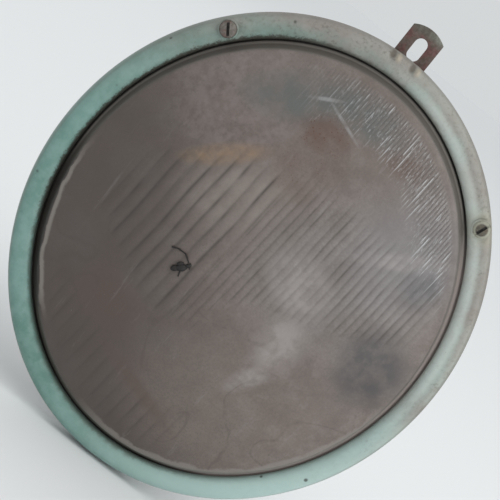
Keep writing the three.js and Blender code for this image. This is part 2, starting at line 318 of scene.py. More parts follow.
def make_rim_paint():
    material, g, surface, place = start_material("weathered_mint_paint", 0.5, Specular_IOR_Level=0.35)
    x, _, z = split(g, place)
    radius = oval_radius(g, x, z)
    broad = clouds(g, place, 28.0, 0.35, 0.65)
    fine = clouds(g, place, 260.0, 0.35, 0.65)
    mint = g.mix(broad, colour(0.100, 0.205, 0.172), colour(0.145, 0.262, 0.230))
    # painted light: the paint is paler towards +X, the side the light falls on
    mint = g.lay(g.fade(x, -40.0, 70.0), mint, 0.375, 0.500, 0.470)
    mint = g.lay(g.times(fine, 0.22), mint, 0.30, 0.42, 0.39)
    # dust lies on the upper half, thickest on the outer shoulder
    height = g.fade(g.plus(g.times(x, 0.45), g.times(z, 0.9)), -35.0, 88.0)
    shoulder = g.fade(radius, 93.0, 98.5)
    patchy = g.times(g.less(clouds(g, place, 70.0, 0.34, 0.66), 0.5), height, 0.5)
    amount = g.plus(g.times(height, g.plus(0.72, g.times(shoulder, 0.5))), patchy, clamp=True)
    dust = g.mix(clouds(g, place, 45.0, 0.4, 0.6), colour(0.290, 0.290, 0.262), colour(0.245, 0.226, 0.205))
    coat = g.mix(amount, mint, dust)
    sooty = clouds(g, place, 760.0, 0.44, 0.74)
    patches = clouds(g, place, 95.0, 0.46, 0.70)
    soiled = g.times(sooty, height, g.plus(0.25, g.times(patches, 0.6)))
    coat = g.lay(soiled, coat, 0.105, 0.098, 0.08)
    # a painted highlight makes the right side's inner slope paler, and the paint is soiled round the right
    # screw
    over, along = leaning(g, x, z)
    glare = g.times(g.fade(over, 48.0, 78.0), g.fade(radius, 96.5, 93.5))
    coat = g.lay(g.times(glare, 0.42), coat, 0.66, 0.70, 0.66)
    stain = blot(g, x, z, (SCREW_X, SCREW_Z), (8.0, 6.0), 0.0, 0.4)
    coat = g.lay(g.times(stain, 0.45), coat, 0.36, 0.35, 0.27)
    # painted shade with grime in the corner next to the lens and along the outer edge
    ragged = clouds(g, place, 330.0, 0.35, 0.6)
    inner = g.fade(radius, 90.4, g.plus(91.2, g.times(ragged, 1.3)), 1.0, 0.0)
    outer = g.fade(radius, 98.6, 99.9)
    grime_and_shade = g.most(g.times(inner, g.fade(x, 60.0, 10.0)), g.times(outer, 0.6))
    coat = g.lay(g.times(grime_and_shade, 0.6), coat, 0.10, 0.095, 0.078)
    # painted shade with sooty specks along the rim's inner edge, on the upper and left sides, away from the
    # lit right side
    tooth = clouds(g, place, 1200.0, 0.34, 0.66)
    edge = g.plus(90.1, g.plus(g.times(ragged, 0.6), g.times(tooth, 0.9)))
    soot_and_shade = g.times(g.fade(radius, edge, g.plus(edge, 1.5), 1.0, 0.0), g.fade(along, -5.0, 35.0))
    coat = g.lay(g.times(soot_and_shade, g.fade(over, 45.0, 15.0), 0.85), coat, 0.045, 0.040, 0.032)
    # painted shade beside each nib and a painted highlight on it
    for nib in (-NIB_X, NIB_X):
        shade = blot(g, x, z, (nib - 2.2, NIB_Z), (1.2, 1.7))
        coat = g.lay(g.times(shade, 0.75), coat, 0.085, 0.070, 0.052)
        nib_highlight = blot(g, x, z, (nib + 0.3, NIB_Z), (1.1, 1.6))
        coat = g.lay(g.times(nib_highlight, 0.6), coat, 0.34, 0.30, 0.225)
    chips = grains_on(g, place, 210.0, 0.09, 0.20)
    flecks = grains_on(g, place, 900.0, 0.12, 0.15)
    coat = g.lay(g.times(flecks, 0.5), coat, 0.09, 0.085, 0.07)
    coat = g.lay(g.times(chips, 0.85), coat, 0.05, 0.05, 0.042)
    rough = g.plus(0.38, g.times(amount, 0.35), clamp=True)
    settle(g, surface, coat, g.plus(rough, g.times(chips, 0.2), clamp=True),
           g.less(g.times(sooty, 0.35), chips), 0.35, 0.0003)
    return material


def make_lens_glass():
    material, g, surface, place = start_material("dusty_lens_glass", 0.4, Specular_IOR_Level=0.5)
    x, y, z = split(g, place)
    radius = oval_radius(g, x, z)
    over, along = leaning(g, x, z)
    valley_shade = g.put("ShaderNodeAttribute", attribute_name="valley_shade").outputs["Fac"]
    times, lay = g.times, g.lay

    def spot(centre, half, lean=0.0, soft=0.5):
        return blot(g, x, z, centre, half, lean, soft)

    # the film of dust, darker on the lower left side and paler towards the upper right
    drift = clouds(g, place, 17.0, 0.25, 0.75)
    across = g.plus(g.plus(times(x, 0.75), times(z, 0.66)), times(g.less(drift, 0.5), 22.0))
    tone = g.mix(g.fade(across, -52.0, 14.0), colour(0.072, 0.055, 0.047), colour(0.162, 0.130, 0.115))
    tone = lay(times(spot((30, 20), (32, 30), 0.3, 0.6), 0.75), tone, 0.215, 0.195, 0.187)
    tone = lay(times(spot((26, -52), (34, 26), 0.0, 0.6), 0.65), tone, 0.190, 0.156, 0.136)
    cloud = clouds(g, place, 62.0, 0.36, 0.64)
    tone = lay(times(cloud, 0.34), tone, 0.092, 0.070, 0.059)
    tone = lay(times(clouds(g, place, 38.0, 0.44, 0.68), 0.20), tone, 0.110, 0.103, 0.092)
    drab = times(clouds(g, place, 150.0, 0.47, 0.62), g.fade(across, -50.0, 20.0))
    tone = lay(times(drab, 0.26), tone, 0.225, 0.195, 0.178)
    tone = lay(times(clouds(g, place, 1100.0, 0.30, 0.70), 0.28), tone, 0.060, 0.048, 0.042)
    grain = clouds(g, place, 300.0, 0.35, 0.65)
    tone = lay(times(spot((-40, 50), (22, 20), 0.3, 0.6), grain, 0.5), tone, 0.190, 0.156, 0.152)
    # cleaner, cooler glass near the upper edge and in a few rubbed patches
    rag = clouds(g, place, 120.0, 0.36, 0.6)
    clean = g.most(spot((-24, 64), (18, 8), 0.5, 0.6), spot((-3, 73), (17, 7), 0.1, 0.6))
    tone = lay(times(clean, g.plus(0.45, times(rag, 0.5))), tone, 0.095, 0.100, 0.095)
    dark = g.most(spot((62, -1), (13, 15), 0.3, 0.5), spot((57, 37), (7, 8), 0.3, 0.6))
    tone = lay(times(dark, g.plus(0.58, times(rag, 0.40))), tone, 0.062, 0.056, 0.056)
    tone = lay(times(spot((46, 42), (20, 22), 0.0, 0.7), 0.45), tone, 0.185, 0.182, 0.190)
    powdered = times(spot((-20, 22), (19, 12), 0.72, 0.7), g.plus(0.35, times(rag, 0.35)))
    tone = lay(powdered, tone, 0.215, 0.185, 0.165)
    # flutes: painted shade darkens the valleys, where less dust lies than on the crests
    tone = lay(times(valley_shade, g.plus(0.50, times(rag, 0.3))), tone, 0.046, 0.037, 0.031)
    # pale smears
    pale = g.most(spot((20, 9), (14, 9), -0.4, 0.6), spot((28, -14), (8, 12), 0.0, 0.6),
                  spot((27, -32), (3.5, 9), -0.5, 0.6), times(spot((46, 40), (18, 3), 0.5, 0.5), 0.6))
    tone = lay(times(pale, g.plus(0.25, times(rag, 0.40))), tone, 0.305, 0.278, 0.266)
    # stains
    rust = g.most(spot((-8, 59), (9.5, 7.5), 0.2, 0.5), times(spot((-6, 46), (13, 13), 0.0, 0.5), 0.45),
                  times(spot((23, 68), (8, 4), 0.2), 0.7))
    speckled = g.plus(0.55, times(grains_on(g, place, 950.0, 0.62, 0.30), 0.6))
    tone = lay(times(rust, speckled, g.plus(0.5, times(rag, 0.5))), tone, 0.085, 0.036, 0.021)
    ochre = spot((-33, 31), (15, 3.6), 0.72, 0.45)
    tone = lay(times(ochre, g.plus(0.25, times(grain, 0.35))), tone, 0.235, 0.150, 0.085)
    brown = g.most(spot((-33, -41), (13, 9), 0.0, 0.7), spot((-4, -63), (18, 3), -0.3, 0.6))
    tone = lay(times(brown, 0.5), tone, 0.085, 0.056, 0.045)
    # fine ribs close to the upper edge, with painted shade between them and painted glints along their
    # crests
    across_ribs = g.less(times(x, math.cos(FLUTE_LEAN)), times(z, math.sin(FLUTE_LEAN)))
    crest = g.sum("ABSOLUTE", g.sum("SINE", times(across_ribs, math.pi / RIB_PITCH)))
    band = times(g.fade(radius, 68.0, 73.0), g.fade(radius, 84.5, 82.5), g.fade(z, 40.0, 52.0),
                 g.fade(x, -40.0, 0.0))
    tone = lay(times(band, g.less(1.0, crest), 0.5), tone, 0.085, 0.083, 0.080)
    turned_place = g.put("ShaderNodeMapping", {"Vector": place, "Rotation": (0.0, -FLUTE_LEAN, 0.0),
                                               "Scale": (1.0, 1.0, 0.16)}).outputs[0]
    dashes = clouds(g, turned_place, 380.0, 0.50, 0.62)
    strokes = clouds(g, turned_place, 1700.0, 0.54, 0.70)
    glint = times(g.most(times(g.fade(crest, 0.82, 1.0), dashes), times(strokes, 0.6)),
                  g.fade(x, -34.0, 14.0), g.fade(z, 28.0, 50.0), g.fade(radius, 63.0, 73.0),
                  g.fade(radius, 84.5, 82.0))
    tone = lay(times(glint, 0.66), tone, 0.50, 0.51, 0.52)
    # scratches and grains
    smear = g.use(SCRATCHES, Vector=place, Scale=260.0, Low=0.60, High=0.74)
    tone = lay(times(smear, g.plus(0.12, times(clean, 0.55))), tone, 0.36, 0.355, 0.35)
    marks = g.most(spot((-16, 70), (5.5, 0.7), 0.5, 0.6), spot((-5, 67), (8, 0.6), -0.35, 0.6))
    tone = lay(times(marks, g.plus(0.08, times(rag, 0.38))), tone, 0.34, 0.34, 0.34)
    # wandering lines where drops have run
    veins = g.put("ShaderNodeTexNoise", {"Vector": place, "Scale": 24.0, "Detail": 2.0, "Roughness": 0.45})
    contour = g.sum("ABSOLUTE", g.less(veins.outputs["Fac"], 0.47))
    line = times(g.fade(contour, 0.009, 0.002), g.fade(z, 5.0, -30.0), clouds(g, place, 48.0, 0.45, 0.55))
    tone = lay(times(line, 0.28), tone, 0.060, 0.044, 0.036)
    grit = grains_on(g, place, 620.0, 0.12, 0.12)
    fine_grit = grains_on(g, place, 1500.0, 0.25, 0.2)
    light_grit = grains_on(g, place, 800.0, 0.10, 0.10)
    tone = lay(times(fine_grit, 0.32), tone, 0.065, 0.05, 0.042)
    tone = lay(times(grit, 0.45), tone, 0.045, 0.034, 0.028)
    tone = lay(times(light_grit, 0.32), tone, 0.45, 0.44, 0.42)
    # painted shade on the moulded side beside the rim, a painted highlight along its foot, and the dark gap
    tone = lay(times(g.fade(y, -12.3, -11.4), 0.85), tone, 0.085, 0.078, 0.068)
    foot = times(g.fade(y, -8.6, -7.8), g.fade(z, -60.0, 0.0))
    tone = lay(times(foot, 0.8), tone, 0.235, 0.215, 0.195)
    # painted light on the right part of the side, and painted shade in the gap elsewhere
    shut = g.most(g.fade(along, -15.0, 20.0), g.fade(over, 0.0, -45.0), 0.25)
    tone = lay(times(g.fade(y, -12.0, -8.6), g.less(1.0, shut)), tone, 0.30, 0.25, 0.235)
    tone = lay(times(g.fade(y, -6.9, -6.3), shut), tone, 0.020, 0.018, 0.016)
    crust = times(g.fade(along, -48.0, -66.0), g.fade(g.plus(radius, times(rag, 1.6)), 85.2, 86.4))
    tone = lay(times(crust, g.fade(y, -10.5, -11.6), 0.6), tone, 0.22, 0.20, 0.18)
    # painted shade of a step at the left side of the face, with a painted highlight line along it
    step_side = times(g.fade(over, -52.0, -70.0), g.fade(along, -22.0, -6.0), g.fade(along, 58.0, 36.0))
    step_radius = g.plus(radius, times(g.less(rag, 0.5), 0.8))
    tone = lay(times(step_side, g.fade(step_radius, 86.0, 86.5), 0.9), tone, 0.026, 0.022, 0.019)
    pale_line = times(g.fade(step_radius, 83.7, 84.9), g.fade(step_radius, 86.3, 85.7))
    tone = lay(times(step_side, pale_line, 0.75), tone, 0.21, 0.19, 0.17)
    rough = g.less(g.plus(0.40, times(cloud, 0.2)), times(g.most(clean, band), 0.16))
    relief = g.plus(g.plus(times(cloud, 0.2), times(fine_grit, 0.3)), times(band, crest, 1.2))
    settle(g, surface, tone, g.plus(rough, times(grit, 0.2), clamp=True), relief, 0.5, 0.0002)
    return material


def make_worn_metal(name, bare, stained, dirt, roughness, metallic, scale=90.0, stain_share=0.5):
    """Plated or plain metal with cloudy stains, grains of dirt and fine relief."""
    material, g, surface, place = start_material(name, roughness, metallic)
    stain = clouds(g, place, scale, 0.42, 0.66)
    fine = clouds(g, place, scale * 6, 0.35, 0.65)
    grains = grains_on(g, place, scale * 9, 0.14, 0.18)
    tone = g.mix(g.times(stain, stain_share), colour(*bare), colour(*stained))
    tone = g.lay(g.times(fine, 0.25), tone, *dirt)
    tone = g.lay(g.times(grains, 0.6), tone, *dirt)
    spread = g.plus(roughness, g.times(stain, 0.22))
    settle(g, surface, tone, g.plus(spread, g.times(grains, 0.2), clamp=True),
           g.plus(g.times(fine, 0.5), grains), 0.3, 0.00015)
    g.feed(surface.inputs["Metallic"], g.times(g.less(1.0, stain), metallic))
    return material


def make_screw_face(side):
    """Corroded screw steel with painted shade in its slot, the right screw's head half buried in old paint.
    """
    material, g, surface, place = start_material("screw_face_" + ("right" if side > 0 else "left"), 0.65)
    x, y, z = split(g, place)
    dx, dz = g.less(x, side * SCREW_X), g.less(z, SCREW_Z)
    reach = g.sum("SQRT", g.plus(g.times(dx, dx), g.times(dz, dz)))
    fine = clouds(g, place, 900.0, 0.35, 0.65)
    stain = clouds(g, place, 420.0, 0.42, 0.6)
    if side > 0:
        bare, stained, head_rim_tone = (0.075, 0.070, 0.054), (0.120, 0.098, 0.070), (0.330, 0.330, 0.265)
        ring, end = g.fade(reach, 2.1, 2.7), (2.3, 2.0)
    else:
        bare, stained, head_rim_tone = (0.150, 0.135, 0.118), (0.150, 0.098, 0.085), (0.060, 0.055, 0.045)
        ring, end = g.fade(reach, 2.9, 3.35), (2.7, 2.3)
    tone = g.mix(stain, colour(*bare), colour(*stained))
    tone = g.lay(g.times(fine, 0.4), tone, 0.052, 0.045, 0.036)
    # the head's rim: buried in old paint on the right screw, darker on the left screw
    tone = g.lay(g.times(ring, 0.85), tone, *head_rim_tone)
    # painted shade deep in the slot
    tone = g.lay(g.times(g.fade(y, -12.75, -12.55), g.fade(reach, *end)), tone, 0.016, 0.014, 0.012)
    settle(g, surface, tone, g.plus(0.5, g.times(fine, 0.35), clamp=True), fine, 0.5, 0.0003)
    return material


def make_tab_steel():
    material, g, surface, place = start_material("rusted_tab_steel", 0.8)
    x, _, z = split(g, place)
    patch = clouds(g, place, 190.0, 0.42, 0.58)
    fine = clouds(g, place, 700.0, 0.35, 0.65)
    primer = g.times(g.fade(z, 111.5, 109.0), g.plus(0.35, g.times(patch, 0.65)))
    tone = g.mix(primer, colour(0.095, 0.088, 0.070), colour(0.125, 0.052, 0.048))
    worn = g.times(g.fade(z, 108.5, 113.0), g.fade(x, -2.0, 6.0))
    tone = g.lay(g.times(worn, 0.7), tone, 0.25, 0.26, 0.22)
    tone = g.lay(g.times(fine, 0.4), tone, 0.055, 0.042, 0.034)
    grains = grains_on(g, place, 1300.0, 0.2, 0.2)
    tone = g.lay(g.times(grains, 0.6), tone, 0.16, 0.085, 0.045)
    settle(g, surface, tone, g.plus(0.62, g.times(fine, 0.3), clamp=True), g.plus(fine, grains), 0.5, 0.0002)
    return material


def make_silvering():
    """The bowl: a tarnished mirror inside and a dull, stained coat outside."""
    material, g, surface, place = start_material("tarnished_silvering", 0.2, 1.0)
    x, y, z = split(g, place)
    radius = g.sum("SQRT", g.plus(g.times(x, x), g.times(z, z)))
    bowl_y = g.less(APEX_Y, g.sum("DIVIDE", g.times(radius, radius), 4 * FOCAL))
    outside = g.fade(g.less(y, bowl_y), 0.35, 0.65)
    bloom = clouds(g, place, 45.0, 0.45, 0.70)
    spots = grains_on(g, place, 500.0, 0.12, 0.16)
    mirror = g.mix(g.times(bloom, 0.5), colour(0.78, 0.78, 0.75), colour(0.42, 0.36, 0.27))
    mirror = g.lay(g.times(spots, 0.6), mirror, 0.15, 0.12, 0.09)
    rust = clouds(g, place, 70.0, 0.50, 0.66)
    fine = clouds(g, place, 420.0, 0.35, 0.65)
    coat = g.mix(g.times(fine, 0.3), colour(0.27, 0.265, 0.25), colour(0.16, 0.15, 0.14))
    coat = g.lay(g.times(rust, 0.75), coat, 0.13, 0.065, 0.035)
    g.feed(surface.inputs["Base Color"], g.mix(outside, mirror, coat))
    dull = g.plus(0.44, g.times(rust, 0.35))
    clear = g.plus(0.12, g.times(bloom, 0.25))
    level = g.plus(g.times(outside, dull), g.times(g.less(1.0, outside), clear), clamp=True)
    g.feed(surface.inputs["Roughness"], level)
    plain = g.times(outside, g.plus(0.25, g.times(rust, 0.7)))
    g.feed(surface.inputs["Metallic"], g.less(1.0, plain, clamp=True))
    g.feed(surface.inputs["Normal"], g.bump(g.times(outside, fine), 0.3, 0.0002))
    return material


def make_moulding(name, base, worn, roughness, scale=160.0):
    """Moulded rubber or resin with a matt grain and dust."""
    material, g, surface, place = start_material(name, roughness)
    grain = clouds(g, place, scale * 8, 0.3, 0.7)
    dust = clouds(g, place, scale, 0.42, 0.68)
    tone = g.mix(g.times(dust, 0.45), colour(*base), colour(*worn))
    tone = g.lay(g.times(grain, 0.25), tone, *worn)
    settle(g, surface, tone, g.plus(roughness, g.times(dust, 0.2), clamp=True), grain, 0.25, 0.0001)
    return material


def make_bulb_glass():
    material, g, surface, place = start_material("clear_bulb_glass", 0.03, IOR=1.46)
    surface.inputs["Transmission Weight"].default_value = 1.0
    haze = clouds(g, place, 150.0, 0.4, 0.7)
    g.feed(surface.inputs["Base Color"], g.mix(haze, colour(0.96, 0.98, 0.98), colour(0.80, 0.82, 0.80)))
    g.feed(surface.inputs["Normal"], g.bump(haze, 0.05, 0.0002))
    return material


PAINT = make_rim_paint()
LENS_GLASS = make_lens_glass()
TAB_STEEL = make_tab_steel()
SILVERING = make_silvering()
ZINC = make_worn_metal("dull_zinc", (0.34, 0.33, 0.30), (0.17, 0.10, 0.06), (0.10, 0.08, 0.06), 0.42, 0.85)
SPRING = make_worn_metal("spring_steel", (0.16, 0.15, 0.14), (0.13, 0.07, 0.04), (0.05, 0.04, 0.03),
                         0.40, 0.85, 140.0)
SCREW_FACES = {-1: make_screw_face(-1), 1: make_screw_face(1)}
SCREW_STEEL = make_worn_metal("corroded_screw_steel", (0.115, 0.110, 0.095), (0.17, 0.12, 0.11),
                              (0.045, 0.04, 0.032), 0.6, 0.35, 260.0, 0.7)
BRASS = make_worn_metal("dull_brass", (0.44, 0.31, 0.12), (0.20, 0.13, 0.06), (0.09, 0.06, 0.03),
                        0.36, 0.95, 180.0)
TUNGSTEN = make_worn_metal("filament_wire", (0.22, 0.21, 0.21), (0.12, 0.12, 0.13), (0.07, 0.07, 0.07),
                           0.4, 0.9, 600.0)
RUBBER = make_moulding("gasket_rubber", (0.012, 0.012, 0.012), (0.07, 0.065, 0.06), 0.75)
RESIN = make_moulding("brown_resin", (0.030, 0.020, 0.014), (0.12, 0.105, 0.09), 0.45)
HUSK = make_moulding("insect_husk", (0.004, 0.003, 0.003), (0.020, 0.016, 0.013), 0.6, 900.0)
BULB_GLASS = make_bulb_glass()


# ---------------------------------------------------------------- shaping

def finished(name, bm, material, body, stands_for=(), crease=35.0):
    """The bmesh as a smooth piece with sharp creases, riding on its body."""
    mesh = bpy.data.meshes.new(name)
    bm.to_mesh(mesh)
    bm.free()
    mesh.shade_smooth()
    mesh.set_sharp_from_angle(angle=math.radians(crease))
    mesh.materials.append(material)
    piece = bpy.data.objects.new(name, mesh)
    scene.collection.objects.link(piece)
    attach(piece, body)
    if stands_for:
        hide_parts(*stands_for)
    return piece


def arc(count, point):
    return [point(i / count) for i in range(count + 1)]


def thickened(line, thickness):
    """A closed outline round an open middle line of (radius, y) points."""
    half = thickness / 2
    near, far = [], []
    for i, (r, y) in enumerate(line):
        before, after = line[max(i - 1, 0)], line[min(i + 1, len(line) - 1)]
        along = Vector((after[0] - before[0], after[1] - before[1])).normalized() * half
        near.append((r - along.y, y + along.x))
        far.append((r + along.y, y - along.x))
    return near + far[::-1]


def turned(profile, steps, loop=True):
    """A closed shell: (radius, y) points in millimetres turned once about Y."""
    bm = bmesh.new()
    corners = [bm.verts.new((r * MM, y * MM, 0.0)) for r, y in profile]
    after = corners[1:] + corners[:1] if loop else corners[1:]
    edges = [bm.edges.new(pair) for pair in zip(corners, after)]
    bmesh.ops.spin(bm, geom=corners + edges, cent=(0, 0, 0), axis=(0, 1, 0), angle=math.tau,
                   steps=steps, use_merge=True)
    bmesh.ops.remove_doubles(bm, verts=bm.verts, dist=1e-6)
    bmesh.ops.recalc_face_normals(bm, faces=bm.faces)
    return bm


def washer(inner, outer, front, back, steps=64, soft=0.15):
    """A ring with eased edges."""
    def corner(r, y, start):
        return arc(3, lambda t: (r + soft * math.cos(math.radians(start + 90 * t)),
                                 y + soft * math.sin(math.radians(start + 90 * t))))
    outline = corner(outer - soft, front + soft, -90) + corner(outer - soft, back - soft, 0)
    outline += corner(inner + soft, back - soft, 90) + corner(inner + soft, front + soft, 180)
    return turned(outline, steps)


def rod(radius, front, back, steps=32, soft=0.2):
    """A solid cylinder along Y with eased edges."""
    def corner(y, start):
        return arc(3, lambda t: (radius - soft + soft * math.cos(math.radians(start + 90 * t)),
                                 y + soft * math.sin(math.radians(start + 90 * t))))
    line = [(0.0, front)] + corner(front + soft, -90) + corner(back - soft, 0) + [(0.0, back)]
    return turned(line, steps, loop=False)


def of_kind(items, kind):
    return [item for item in items if isinstance(item, kind)]


def pushed(bm, vec):
    """Makes flat faces into a solid that reaches as far as a vector."""
    grown = bmesh.ops.extrude_face_region(bm, geom=bm.faces[:], use_keep_orig=True)
    bmesh.ops.translate(bm, verts=of_kind(grown["geom"], bmesh.types.BMVert), vec=vec)
    bmesh.ops.recalc_face_normals(bm, faces=bm.faces)


def slab(outlines, front, back, soft=0.2):
    """A plate along Y from an outer outline of (x, z) points and any holes, with eased edges."""
    bm = bmesh.new()
    edges = []
    for outline in outlines:
        corners = [bm.verts.new((x * MM, front * MM, z * MM)) for x, z in outline]
        edges += [bm.edges.new(pair) for pair in zip(corners, corners[1:] + corners[:1])]
    bmesh.ops.triangle_fill(bm, use_beauty=True, use_dissolve=True, edges=edges, normal=(0, -1, 0))
    pushed(bm, (0, (back - front) * MM, 0))
    ease(bm, soft)
    return bm


def ease(bm, soft, angle=50.0, segments=2):
    sharp = [e for e in bm.edges if e.is_manifold and e.calc_face_angle() > math.radians(angle)]
    bmesh.ops.bevel(bm, geom=sharp, offset=soft * MM, segments=segments, affect="EDGES", profile=0.5,
                    material=-1)


def block(size, centre, soft=0.15):
    """A box with eased edges, in millimetres."""
    bm = bmesh.new()
    bmesh.ops.create_cube(bm, size=1.0)
    bmesh.ops.scale(bm, vec=[s * MM for s in size], verts=bm.verts)
    bmesh.ops.translate(bm, vec=[c * MM for c in centre], verts=bm.verts)
    ease(bm, soft)
    return bm


def shifted(bm, x=0.0, z=0.0, y=0.0):
    bmesh.ops.translate(bm, verts=bm.verts, vec=(x * MM, y * MM, z * MM))
    return bm


def swung(bm, angle, axis="Y"):
    bmesh.ops.rotate(bm, verts=bm.verts, cent=(0, 0, 0), matrix=Matrix.Rotation(angle, 3, axis))
    return bm


def at_screw(bm, side):
    return shifted(bm, side * SCREW_X, SCREW_Z)


def narrow(radius):
    """How much a circle of this radius is squeezed in X to become the lamp's oval."""
    even = max(radius, EVEN_R)
    return (even - NARROW) / even


def squeezed(bm):
    for corner in bm.verts:
        corner.co.x *= narrow(math.hypot(corner.co.x, corner.co.z) / MM)
    return bm


def united(*parts):
    """Several shells kept together as one piece."""
    whole = bmesh.new()
    for part in parts:
        mesh = bpy.data.meshes.new("part")
        part.to_mesh(mesh)
        part.free()
        whole.from_mesh(mesh)
        bpy.data.meshes.remove(mesh)
    return whole


def cut(piece, tool):
    """Cuts a closed tool out of a piece and bakes the result into its mesh."""
    mesh = bpy.data.meshes.new("cutter")
    tool.to_mesh(mesh)
    tool.free()
    cutter = bpy.data.objects.new("cutter", mesh)
    scene.collection.objects.link(cutter)
    modifier = piece.modifiers.new("cut", "BOOLEAN")
    modifier.operation = "DIFFERENCE"
    modifier.solver = "EXACT"
    modifier.object = cutter
    bpy.context.view_layer.update()
    result = bpy.data.meshes.new_from_object(piece.evaluated_get(bpy.context.evaluated_depsgraph_get()))
    piece.modifiers.remove(modifier)
    old = piece.data
    piece.data = result
    bpy.data.meshes.remove(old)
    bpy.data.objects.remove(cutter)
    bpy.data.meshes.remove(mesh)
    return piece


# ---------------------------------------------------------------- rim and tab

def rim_section():
    sheet, bend = 1.0, 0.9
    wall = RIM_HEIGHT - sheet / 2
    top = -CROWN_Y - sheet / 2
    power = 2 / 2.6
    half_turn = math.pi / 2
    line = [(95.9, -0.5)]
    line += arc(6, lambda t: (wall - bend + bend * math.sin(t * half_turn),
                              -0.5 - bend + bend * math.cos(t * half_turn)))
    line += arc(18, lambda t: (CROWN_R + (wall - CROWN_R) * max(math.cos(t * half_turn), 0) ** power,
                               -2.5 - (top - 2.5) * math.sin(t * half_turn) ** power))[:-1]
    line += arc(12, lambda t: (CROWN_R - (CROWN_R - LIP_R - 0.5) * math.sin(math.radians(90 * t)),
                               -7.1 - (top - 7.1) * math.cos(math.radians(90 * t))))
    line += [(LIP_R + 0.5, -6.5)]
    return thickened(line, sheet)


def build_rim():
    bm = squeezed(turned(rim_section(), 720))
    nibs = [Vector((side * 4.5, -8.0, 98.0)) for side in (-1, 1)]
    screws = [Vector((side * SCREW_X, CROWN_Y, SCREW_Z)) for side in (-1, 1)]
    for corner in bm.verts:
        place = corner.co / MM
        push = Vector((0.0, 0.0, 0.0))
        if place.y < -3.5:
            for nib in nibs:
                near = math.exp(-((place.x - nib.x) / 1.2) ** 2 - ((place.z - nib.z) / 2.0) ** 2)
                hollow = math.exp(-((place.x - nib.x + 2.1) / 0.9) ** 2 - ((place.z - nib.z) / 1.6) ** 2)
                push += Vector((0.0, -0.95 * near + 0.45 * hollow, 0.35 * near))
            for screw in screws:
                reach = math.hypot(place.x - screw.x, place.z - screw.z)
                push.y += max(0.0, min(1.0, (6.2 - reach) / 2.2)) * max(-10.0 - place.y, -0.6) * 0.9
            wave = noise.noise(place * 0.045) * 0.16 + noise.noise(place * 0.21) * 0.05
            push.y += wave
        corner.co = (place + push) * MM
    finished("rim_band", bm, PAINT, "front_unit", ["rim"])


def build_tab():
    half, corner_z, tip = 7.1, 111.4, 113.6
    rise = tip - corner_z
    radius = (half ** 2 + rise ** 2) / (2 * rise)
    spread = math.asin(half / radius)
    outline = [(-half, 95.3), (half, 95.3)]
    outline += arc(24, lambda t: (radius * math.sin(spread - 2 * spread * t),
                                  tip - radius + radius * math.cos(spread - 2 * spread * t)))
    slot_r, reach, middle = 2.65, 2.2, 104.3
    slot = arc(16, lambda t: (slot_r * math.cos(math.pi * t),
                              middle + reach + slot_r * math.sin(math.pi * t)))
    slot += arc(16, lambda t: (-slot_r * math.cos(math.pi * t),
                               middle - reach - slot_r * math.sin(math.pi * t)))
    bm = slab([outline, slot], 0.3, 1.8, 0.22)
    finished("tab_plate", bm, TAB_STEEL, "front_unit", ["fixing_tab"])


# ---------------------------------------------------------------- lens

def flute_height(u, v, radius):
    """Relief of the moulded flutes in millimetres, and the painted shade of the flute valley at the point.
    """
    def ramp(value, low, high):
        return max(0.0, min(1.0, (value - low) / (high - low)))

    u += 0.5 * noise.noise(Vector((u * 0.06, v * 0.05, 1.0)))
    uneven = noise.noise(Vector((u * 0.16, v * 0.07, 5.0)))
    uneven += 0.5 * noise.noise(Vector((u * 0.4, v * 0.2, 9.0)))
    inside = ramp(84.0 - radius, 0, 3)
    top = min(12 + 0.9 * (u + 57), 37 + 0.25 * (u + 27))
    left = ramp(u, -60, -54) * ramp(-9 - u, 0, 2) * ramp(v - max(-35, -21 - 0.4 * (u + 57)), 0, 4)
    left *= ramp(top - v, 0, 7)
    low = -33.0 if u < 0 else -15 + 0.47 * u
    right = ramp(u, -11, -9) * ramp(70 - u, 0, 10) * ramp(v - low, 0, 4) * ramp(48 - v, 0, 8)
    foot = ramp(radius, 60, 68) * ramp(-v, 46, 58) * ramp(26 - u, 0, 10)
    relief, valley_shade = 0.0, 0.0
    flutes = ((left, 5.2, 0.46, 1.0), (right, 3.1, 0.17, 0.72), (foot, 5.2, 0.24, 0.5))
    for share, pitch, depth, shade in flutes:
        crest = abs(math.sin(math.pi * u / pitch))
        relief += share * inside * depth * crest * (1.0 + 0.35 * uneven)
        line = (1.0 - abs(math.sin(math.pi * (u / pitch - 0.07)))) ** 2.4
        valley_shade += share * inside * shade * line * max(0.15, min(1.2, 0.85 + 1.1 * uneven))
    return relief, valley_shade


